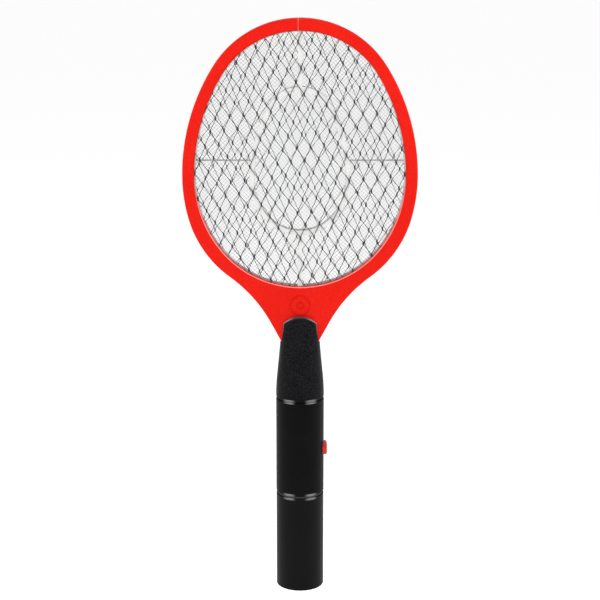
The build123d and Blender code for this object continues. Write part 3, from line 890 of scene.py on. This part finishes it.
def settle(piece: bpy.types.Object, stands_for: str | None = None) -> bpy.types.Object:
    """Let a new piece ride on the racket.

    Args:
        piece: The piece.
        stands_for: The CAD node that it replaces, if it replaces one.

    Returns:
        The piece.
    """
    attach(piece, Body.RACKET.value)
    if stands_for is not None:
        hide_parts(stands_for)
    return piece


def wire_tree(name: str) -> FormTree:
    """The tree that turns a plan's edges into round wires.

    Args:
        name: The tree's name.

    Returns:
        The tree, with the plan's wires as its only part.
    """
    tree = FormTree(name, {"Wire radius": "NodeSocketFloat", "Material": "NodeSocketMaterial"})
    curves = tree.node("GeometryNodeMeshToCurve", None, {0: tree.named("Geometry")})
    section = {0: 4, "Radius": tree.named("Wire radius")}
    ring = tree.node("GeometryNodeCurvePrimitiveCircle", None, section)
    wires = tree.node("GeometryNodeCurveToMesh", None, {0: curves, 1: ring, "Fill Caps": True})
    tree.close([wires])
    return tree


def slit_net_tree(name: str) -> FormTree:
    """The tree of a slit and stretched net: flat strands that meet in thicker bonds.

    Args:
        name: The tree's name.

    Returns:
        The tree. Its plan's edges are strands and its points marked "bond" are bonds.
    """
    number, material = "NodeSocketFloat", "NodeSocketMaterial"
    bond = ("Bond width", "Bond length", "Bond thickness")
    labels = ("Strand width", "Strand thickness", *bond, "Tilt")
    tree = FormTree(name, {**{label: number for label in labels}, "Material": material})
    plan = tree.named("Geometry")
    curves = tree.node("GeometryNodeMeshToCurve", None, {0: plan})
    section = {"Width": tree.named("Strand thickness"), "Height": tree.named("Strand width")}
    profile = tree.node("GeometryNodeCurvePrimitiveQuadrilateral", None, section)
    strands = tree.node("GeometryNodeCurveToMesh", None, {0: curves, 1: profile, "Fill Caps": True})
    mark = tree.node("GeometryNodeInputNamedAttribute", {"data_type": "BOOLEAN"}, {"Name": "bond"})
    unit = {"Vertices": 8, "Radius": 0.5, "Depth": 1.0}
    plate = tree.node("GeometryNodeMeshCylinder", None, unit)
    sizes = {letter: tree.named(label) for letter, label in zip("XYZ", bond)}
    scale = tree.node("ShaderNodeCombineXYZ", None, sizes)
    flat = tree.node("GeometryNodeTransform", None, {"Geometry": plate, "Scale": scale})
    upright = {"Geometry": flat, "Rotation": (math.pi / 2, 0.0, 0.0)}
    standing = tree.node("GeometryNodeTransform", None, upright)
    turn = tree.node("ShaderNodeCombineXYZ", None, {"Y": tree.named("Tilt")})
    inputs = {"Points": plan, "Selection": mark, "Instance": standing, "Rotation": turn}
    bonds = tree.node("GeometryNodeInstanceOnPoints", None, inputs)
    tree.close([strands, bonds])
    return tree


class Opening:
    """The flat outline that the nets are cut to, measured on the middle net's plate."""

    def __init__(self, node: str) -> None:
        """Measure a plate.

        Args:
            node: Name of the plate's node.
        """
        self.shape = node_shape(node)
        self.shortest = 2 * MM
        self.bottom = self.shape.ray_cast(Vector((0, 0, 0)), Vector((0, 0, 1)))[0].z
        self.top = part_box(node)[1].z
        self.middle = Vector((0.0, 0.0, (self.bottom + self.top) / 2))

    def cut(self, point: Vector, way: Vector) -> tuple[Vector, Vector] | None:
        """Where a straight line in the plate's plane enters and leaves it.

        Args:
            point: A point on the line.
            way: The line's direction.

        Returns:
            The two ends, or nothing where the line misses the plate.
        """
        far = way.normalized()
        first = self.shape.ray_cast(point - far, far)[0]
        last = self.shape.ray_cast(point + far, -far)[0]
        if first is None or last is None or (last - first).length < self.shortest:
            return None
        return first, last

    def holds(self, x: float, z: float, margin: float = 0.0) -> bool:
        """Whether a point is inside the outline.

        Args:
            x: The point's place across.
            z: Its height.
            margin: How far inside it has to be.

        Returns:
            True where it is.
        """
        reach = 1.0 + margin / (0.5 * (self.top - self.bottom))
        high = self.middle.z + (z - self.middle.z) * reach
        if not self.bottom < high < self.top:
            return False
        edge = self.shape.ray_cast(Vector((-1, 0, high)), Vector((1, 0, 0)))[0]
        return edge is not None and abs(x) * reach < -edge.x


@dataclass
class SlitNet:
    """One outer net: slit metal sheet, stretched into staggered diamonds."""

    name: str
    stands_for: str
    material: Metal
    start: Place
    tilt: float
    pitch_across: float = 10.54 * MM
    pitch_along: float = 19.75 * MM
    strand_width: float = 0.46 * MM
    strand_thickness: float = 0.36 * MM
    bond_width: float = 1.5 * MM
    bond_length: float = 3.5 * MM
    bond_thickness: float = 0.5 * MM
    bend_left: float = 0.12 * MM
    bend_right: float = 0.03 * MM
    shoulder: float = 0.18
    nose: float = 0.26
    bend_at: float = 0.22
    bond_margin: float = 0.3 * MM
    halvings: int = 10
    rows: int = 24

    def _place(self, across: float, along: float) -> Place:
        """A point of the net's own grid in the plane of the head."""
        lean = math.radians(self.tilt)
        x = self.start[0] + across * math.cos(lean) - along * math.sin(lean)
        return x, self.start[1] + across * math.sin(lean) + along * math.cos(lean)

    def _strand(self, across: float, along: float, side: int) -> list[Place]:
        """The strand from a bond down to its neighbour on one side.

        Args:
            across: The upper bond's place across the net.
            along: Its place along the net.
            side: 1 for the neighbour on the right, -1 for the left.

        Returns:
            The strand's points.
        """
        edge, tip = side * self.bond_width * self.shoulder, self.bond_length * self.nose
        next_across = across + side * self.pitch_across / 2
        top = Vector((across + edge, along - tip))
        foot = Vector((next_across - edge, along - self.pitch_along / 2 + tip))
        bow = Vector((side * (self.bend_left if side < 0 else self.bend_right), 0.0))
        first, last = top.lerp(foot, self.bend_at), top.lerp(foot, 1 - self.bend_at)
        route = (top, first - bow, last + bow, foot)
        return [self._place(*step) for step in route]

    def _clip(self, opening: Opening, route: list[Place]) -> list[Place]:
        """The stretch of a strand that lies inside the opening's outline.

        Args:
            opening: The outline.
            route: The strand's points.

        Returns:
            The points that are kept.
        """
        if not opening.holds(*route[0]):
            route = route[::-1]
        if not opening.holds(*route[0]):
            return []
        kept = [route[0]]
        for here, there in zip(route, route[1:]):
            if opening.holds(*there):
                kept.append(there)
                continue
            near, far = 0.0, 1.0
            for _ in range(self.halvings):
                half = (near + far) / 2
                point = tuple(a + (b - a) * half for a, b in zip(here, there))
                near, far = (half, far) if opening.holds(*point) else (near, half)
            kept.append(tuple(a + (b - a) * near for a, b in zip(here, there)))
            break
        return kept

    def _plan(self, opening: Opening, depth: float) -> bpy.types.Mesh:
        """The net's plan: strands as edges and bonds as marked points.

        Args:
            opening: The outline that the net is cut to.
            depth: The net's place along Y.

        Returns:
            The plan as a mesh.
        """
        points: list[Point] = []
        edges: list[tuple[int, int]] = []
        marks: list[bool] = []
        for row in range(-self.rows, self.rows + 1):
            for column in range(-self.rows, self.rows + 1):
                across = (column + (row % 2) / 2) * self.pitch_across
                along = row * self.pitch_along / 2
                x, z = self._place(across, along)
                if opening.holds(x, z, self.bond_margin):
                    points.append((x, depth, z))
                    marks.append(True)
                for side in (1, -1):
                    kept = self._clip(opening, self._strand(across, along, side))
                    first = len(points)
                    points += [(px, depth, pz) for px, pz in kept]
                    marks += [False] * len(kept)
                    edges += [(first + step, first + step + 1) for step in range(len(kept) - 1)]
        mesh = bpy.data.meshes.new(self.name + "_plan")
        mesh.from_pydata(points, edges, [])
        bond = mesh.attributes.new("bond", "BOOLEAN", "POINT")
        bond.data.foreach_set("value", marks)
        return mesh

    def build(self, opening: Opening, tree: FormTree) -> bpy.types.Object:
        """Make the net in the place of its plate.

        Args:
            opening: The outline that the net is cut to.
            tree: The slit net's tree.

        Returns:
            The net.
        """
        low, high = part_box(self.stands_for)
        values = {
            "Strand width": self.strand_width,
            "Strand thickness": self.strand_thickness,
            "Bond width": self.bond_width,
            "Bond length": self.bond_length,
            "Bond thickness": self.bond_thickness,
            "Tilt": -math.radians(self.tilt),
            "Material": self.material.make(),
        }
        net = tree.grow(self.name, self._plan(opening, (low.y + high.y) / 2), values)
        return settle(net, self.stands_for)


@dataclass
class FineNet:
    """The middle net: two layers of thin parallel wires that cross."""

    name: str = "fine_net"
    stands_for: str = "centre_net"
    material: Metal = CENTRE_METAL
    pitch: float = 2.15 * MM
    wire_radius: float = 0.11 * MM
    lean: float = 47.0
    layer_apart: float = 0.95
    lines: int = 60

    def build(self, opening: Opening, tree: FormTree) -> bpy.types.Object:
        """Make the net in the place of its plate.

        Args:
            opening: The outline that the net is cut to.
            tree: The tree that gives the wires their thickness.

        Returns:
            The net.
        """
        points: list[Vector] = []
        for side in (1, -1):
            lean = math.radians(self.lean) * side
            way = Vector((math.sin(lean), 0.0, math.cos(lean)))
            step = Vector((math.cos(lean), 0.0, -math.sin(lean))) * self.pitch
            layer = Vector((0.0, -side * self.wire_radius * self.layer_apart, 0.0))
            for line in range(-self.lines, self.lines + 1):
                ends = opening.cut(opening.middle + step * line, way)
                if ends is not None:
                    points += [end + layer for end in ends]
        mesh = bpy.data.meshes.new(self.name + "_plan")
        mesh.from_pydata(points, [(end, end + 1) for end in range(0, len(points), 2)], [])
        values = {"Wire radius": self.wire_radius, "Material": self.material.make()}
        net = tree.grow(self.name, mesh, values)
        return settle(net, self.stands_for)


@dataclass
class Collar:
    """The red collar that lines the opening and hides the front spacer's rim; its material paints
    the wall as shade and the lip as a highlight.
    """

    name: str = "opening_collar"
    frame_node: str = "head_front_frame"
    around: int = 240
    mark_height: float = 0.3 * MM
    slice_depth: float = 1.0 * MM
    full_below: float = 290.0 * MM
    gone_above: float = 350.0 * MM
    least: float = 0.1
    section: tuple[Place, ...] = (
        (-0.25, 0.35),
        (0.00, 0.06),
        (0.14, 0.00),
        (0.30, 0.07),
        (0.41, 0.22),
        (0.45, 0.45),
        (0.47, 0.85),
        (0.62, 1.40),
        (0.90, 2.90),
        (0.92, 7.90),
        (0.70, 8.00),
        (-0.25, 7.60),
    )

    def build(self, opening: Opening) -> bpy.types.Object:
        """Sweep the collar's section round the opening of the front frame.

        Args:
            opening: The outline of the nets, whose middle the collar goes round.

        Returns:
            The collar.
        """
        shape = node_shape(self.frame_node)
        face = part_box(self.frame_node)[0].y + self.mark_height
        middle = Vector((0.0, face + self.slice_depth, opening.middle.z))
        edge: list[Vector] = []
        for step in range(self.around):
            turn = 2 * math.pi * step / self.around
            edge.append(shape.ray_cast(middle, Vector((math.cos(turn), 0.0, math.sin(turn))))[0])
        form = bmesh.new()
        loops: list[list[bmesh.types.BMVert]] = []
        for step, point in enumerate(edge):
            run = edge[(step + 1) % self.around] - edge[step - 1]
            inward = Vector((-run.z, 0.0, run.x)).normalized()
            share = (self.gone_above - point.z) / (self.gone_above - self.full_below)
            inward *= min(1.0, max(self.least, share)) * MM
            loop = [
                form.verts.new((point.x + inward.x * u, face + v * MM, point.z + inward.z * u))
                for u, v in self.section
            ]
            loops.append(loop)
        for step, loop in enumerate(loops):
            ahead = loops[(step + 1) % self.around]
            for here in range(len(loop)):
                there = (here + 1) % len(loop)
                form.faces.new((loop[here], ahead[here], ahead[there], loop[there]))
        bmesh.ops.recalc_face_normals(form, faces=form.faces)
        for flat in form.faces:
            flat.smooth = True
        return settle(link_form(self.name, form, COLLAR_SHADED_RED.make()))


@dataclass
class SeamTongue:
    """The tongue inside the grip's parting line, one strip on each side."""

    name: str = "seam_tongue"
    shell_node: str = "handle_back_shell"
    clear_of: tuple[str, ...] = ("switch_button", "indicator_led")
    foot: float = 82.0 * MM
    top: float = 201.0 * MM
    step: float = 2.0 * MM
    outside: float = 0.45 * MM
    inside: float = 1.0 * MM
    half_deep: float = 0.4 * MM
    margin: float = 1.5 * MM
    ray_start: float = 100.0 * MM
    slice_depth: float = 0.3 * MM

    def _runs(self, side: int) -> list[list[Vector]]:
        """The outline of the wall on one side, broken at the button and the lamp.

        Args:
            side: 1 for the side of the button, -1 for the other.

        Returns:
            Runs of points on the wall's outside.
        """
        shape = node_shape(self.shell_node)
        gaps = [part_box(node) for node in self.clear_of] if side > 0 else []
        runs: list[list[Vector]] = [[]]
        for count in range(int((self.top - self.foot) / self.step) + 1):
            height = self.foot + count * self.step
            outside = Vector((side * self.ray_start, self.slice_depth, height))
            hit = shape.ray_cast(outside, Vector((-side, 0.0, 0.0)))[0]
            held = any(low.z - self.margin < height < high.z + self.margin for low, high in gaps)
            if hit is None or held:
                runs.append([])
            else:
                runs[-1].append(hit)
        return [run for run in runs if len(run) > 1]

    def build(self) -> bpy.types.Object:
        """Make the strips.

        Returns:
            The tongue.
        """
        form = bmesh.new()
        for side in (1, -1):
            for run in self._runs(side):
                loops = []
                for point in run:
                    near, far = point.x - side * self.outside, point.x - side * self.inside
                    back, front = self.half_deep, -self.half_deep
                    square = ((near, front), (near, back), (far, back), (far, front))
                    loops.append([form.verts.new((x, y, point.z)) for x, y in square])
                for below, above in zip(loops, loops[1:]):
                    for here in range(len(below)):
                        there = (here + 1) % len(below)
                        form.faces.new((below[here], below[there], above[there], above[here]))
                form.faces.new(loops[0])
                form.faces.new(loops[-1])
        bmesh.ops.recalc_face_normals(form, faces=form.faces)
        return settle(link_form(self.name, form, CRADLE_BLACK.make()))


# --- sub-assemblies ----------------------------------------------------------------


def dress(material: bpy.types.Material, *nodes: str) -> None:
    """Give a material to every slot of some nodes.

    Args:
        material: The material.
        nodes: The nodes' names.
    """
    for name in nodes:
        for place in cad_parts[name].material_slots:
            place.material = material
        LOG.info("dressed %s in %s", name, material.name)


@dataclass
class Head:
    """The red ring with its two spacers, three nets and screws."""

    front_net: SlitNet
    rear_net: SlitNet
    fine_net: FineNet
    collar: Collar

    def build(self) -> None:
        """Make the nets and the collar, and dress the mouldings."""
        opening = Opening(self.fine_net.stands_for)
        slit = slit_net_tree("slit_net")
        for net in (self.front_net, self.rear_net):
            LOG.info("made %s", net.build(opening, slit).name)
        LOG.info("made %s", self.fine_net.build(opening, wire_tree("fine_wires")).name)
        LOG.info("made %s", self.collar.build(opening).name)
        dress(RED.make(), "head_front_frame", "head_back_frame")
        dress(SPACER_WHITE.make(), "front_spacer", "rear_spacer")
        dress(ZINC.make(), "head_screws")
        dress(WIRE_RED.make(), "centre_net_wire", "battery_lead_red")
        dress(WIRE_BLACK.make(), "outer_net_wire", "net_link_wire", "battery_lead_black")


@dataclass
class Handle:
    """The black grip: two shells, the battery cap, the button and the lamp."""

    tongue: SeamTongue

    def build(self) -> None:
        """Make the seam's tongue, and dress the shells, the cap, the button and the lamp."""
        LOG.info("made %s", self.tongue.build().name)
        dress(SPARKED_BLACK.make(), "handle_front_shell", "handle_back_shell")
        dress(SATIN_BLACK.make(), "battery_cap")
        dress(ZINC.make(), "handle_screws")
        dress(BUTTON_RED.make(), "switch_button")
        dress(LAMP_RED.make(), "indicator_led")


@dataclass
class PowerPack:
    """The cradle with its two cells and their contacts."""

    metal_end: float = 0.9 * MM
    sleeve_top: float = 15.0 * MM
    cell_body: float = 49.4 * MM

    def _cell(self, name: str, nub_up: bool) -> Banded:
        """The printed sleeve of a cell, with its bare metal ends.

        Args:
            name: The cell's node.
            nub_up: Whether its nub is at the top.

        Returns:
            The finish.
        """
        low, high = (corner.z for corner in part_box(name))
        if nub_up:
            body = (low, low + self.cell_body)
            band = (body[1] - self.sleeve_top, body[1] - self.metal_end)
        else:
            body = (high - self.cell_body, high)
            band = (body[0] + self.metal_end, body[0] + self.sleeve_top)
        bands = (
            Band(*band, SLEEVE_PALE),
            Band(low - MM, body[0] + self.metal_end, BARE_STEEL, 1.0),
            Band(body[1] - self.metal_end, high + MM, BARE_STEEL, 1.0),
        )
        return Banded(name + "_sleeve", SLEEVE_TEAL, bands)

    def build(self) -> None:
        """Dress the cradle, the cells and the contacts."""
        dress(CRADLE_BLACK.make(), "battery_cradle")
        dress(self._cell("battery_left", True).make(), "battery_left")
        dress(self._cell("battery_right", False).make(), "battery_right")
        dress(NICKEL.make(), "bridge_contact", "spring_contact", "flat_contact")


@dataclass
class Electronics:
    """The circuit board with its parts, and the push switch."""

    cathode_from_top: float = 2.2 * MM
    cathode_ring: Place = (0.8 * MM, 0.1 * MM)
    ring_half: float = 0.35 * MM
    roughness: float = 0.4
    coat: float = 0.2

    def _resistor(self) -> Banded:
        """A tan body with four coloured rings."""
        low, high = (corner.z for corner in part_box("resistors"))
        middle, half = (low + high) / 2, self.ring_half
        rings = tuple(
            Band(middle + place - half, middle + place + half, colour)
            for place, colour in RESISTOR_RINGS
        )
        return Banded("resistor_body", RESISTOR_TAN, rings, self.roughness, self.coat)

    def _diode(self) -> Banded:
        """A black body with one pale ring at its cathode."""
        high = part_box("rectifier_diodes")[1].z - self.cathode_from_top
        ring = Band(high - self.cathode_ring[0], high - self.cathode_ring[1], BARE_STEEL)
        return Banded("diode_body", DIODE_BLACK, (ring,), self.roughness, self.coat)

    def build(self) -> None:
        """Dress the board and everything on it."""
        dress(BOARD.make(), "circuit_board")
        dress(ZINC.make(), "board_screws")
        dress(FERRITE.make(), "transformer_core")
        dress(BOBBIN.make(), "transformer_bobbin")
        dress(TAPE.make(), "transformer_winding")
        dress(FILM.make(), "film_capacitor")
        dress(DISC.make(), "disc_capacitors")
        dress(self._diode().make(), "rectifier_diodes")
        dress(self._resistor().make(), "resistors")
        dress(MOULD_BLACK.make(), "oscillator_transistor")
        dress(SWITCH_BLACK.make(), "switch_body", "switch_plunger")


@dataclass
class SoftBox:
    """One large lamp that faces the racket."""

    name: str
    place: Point
    wide: float
    high: float
    watts: float


@dataclass
class Studio:
    """The pale floor, the soft light and the camera."""

    camera_place: Point = (0.0, -1.210, 0.513)
    aim: Point = (0.0, 0.0, 0.234)
    lens: float = 96.0
    sensor: float = 36.0
    floor_radius: float = 30.0
    floor_drop: float = 0.080
    floor_sides: int = 96
    floor_roughness: float = 0.85
    floor_specular: float = 0.1
    mottle: float = 20.0 * MM
    mottle_share: float = 0.3
    mottle_gloss: float = 0.1
    horizon: float = 1.0
    sky: float = 0.36
    horizon_fade: Place = (0.16, 0.45)
    glow: float = 0.62
    boxes: tuple[SoftBox, ...] = (
        SoftBox("left_box", (-0.98, -0.80, 0.75), 0.85, 0.30, 7.0),
        SoftBox("right_box", (1.15, -0.45, 0.75), 0.85, 0.30, 7.0),
        SoftBox("top_box", (0.0, -0.35, 1.5), 0.5, 0.5, 6.0),
    )

    def _floor(self) -> None:
        """Lay a round pale floor, low enough for the cap to be pulled off above it."""
        form = bmesh.new()
        sizes = {"radius": self.floor_radius, "segments": self.floor_sides}
        bmesh.ops.create_circle(form, cap_ends=True, **sizes)
        for vertex in form.verts:
            vertex.co.z = -self.floor_drop
        graph = new_graph("pale_floor")
        mottle = graph.noise(self.mottle, 3.0)
        material = graph.finish(
            {
                "Base Color": graph.mix(mottle * self.mottle_share, FLOOR_WHITE, FLOOR_SHADE),
                "Roughness": self.floor_roughness + mottle * self.mottle_gloss,
                "Specular IOR Level": self.floor_specular,
                "Emission Color": FLOOR_WHITE,
                "Emission Strength": self.glow,
            }
        )
        link_form("studio_floor", form, material)

    def _sky(self) -> None:
        """Surround the scene with a sky that is white near the horizon and dimmer above."""
        world = bpy.data.worlds.new("white_sky")
        graph = ShaderGraph(world)
        way = graph.node("ShaderNodeTexCoord", out="Generated")
        height = graph.node("ShaderNodeSeparateXYZ", None, {0: way}, out="Z")
        above = graph.ramp(height, *self.horizon_fade)
        strength = self.horizon + above * (self.sky - self.horizon)
        inputs = {"Color": tone(1.0, 1.0, 1.0), "Strength": strength}
        graph.close("ShaderNodeOutputWorld", graph.node("ShaderNodeBackground", None, inputs))
        bpy.context.scene.world = world

    def _turn_to_racket(self, placed: bpy.types.Object) -> None:
        """Point a lamp or a camera at the middle of the racket."""
        sight = Vector(self.aim) - placed.location
        placed.rotation_euler = sight.to_track_quat("-Z", "Y").to_euler()

    def _lamp(self, box: SoftBox) -> None:
        """Hang one soft box, turned towards the racket.

        Args:
            box: The soft box.
        """
        data = bpy.data.lights.new(box.name, "AREA")
        data.shape = "RECTANGLE"
        data.size, data.size_y, data.energy = box.wide, box.high, box.watts
        lamp = link_object(box.name, data)
        lamp.location = box.place
        self._turn_to_racket(lamp)

    def _camera(self) -> None:
        """Set up the camera in front of the racket, a little above it."""
        data = bpy.data.cameras.new("view")
        data.lens, data.sensor_width = self.lens, self.sensor
        camera = link_object("view", data)
        camera.location = self.camera_place
        self._turn_to_racket(camera)
        bpy.context.scene.camera = camera

    def build(self) -> None:
        """Make the floor, the light and the camera."""
        self._floor()
        self._sky()
        for box in self.boxes:
            self._lamp(box)
        self._camera()
        bpy.context.scene.view_settings.view_transform = "Standard"


def write_sizes() -> None:
    """Bring the view layer up to date."""
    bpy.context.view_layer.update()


def main() -> None:
    """Build the sub-assemblies in order and report each one."""
    logging.basicConfig(level=logging.INFO, format="%(message)s")
    front = SlitNet("front_slit_net", "front_net", NET_METAL, (-17.80 * MM, 390.9 * MM), 6.8)
    rear = SlitNet(
        "rear_slit_net",
        "rear_net",
        REAR_NET_METAL,
        (-7.09 * MM, 412.3 * MM),
        -5.0,
        strand_width=0.40 * MM,
        bond_width=1.15 * MM,
        bond_length=2.5 * MM,
    )
    assemblies: tuple[tuple[str, Callable[[], None]], ...] = (
        ("head", Head(front, rear, FineNet(), Collar()).build),
        ("handle", Handle(SeamTongue()).build),
        ("power pack", PowerPack().build),
        ("electronics", Electronics().build),
        ("studio", Studio().build),
        ("sizes", write_sizes),
    )
    for label, build in assemblies:
        build()
        LOG.info("finished the %s", label)


if __name__ == "__main__":
    main()
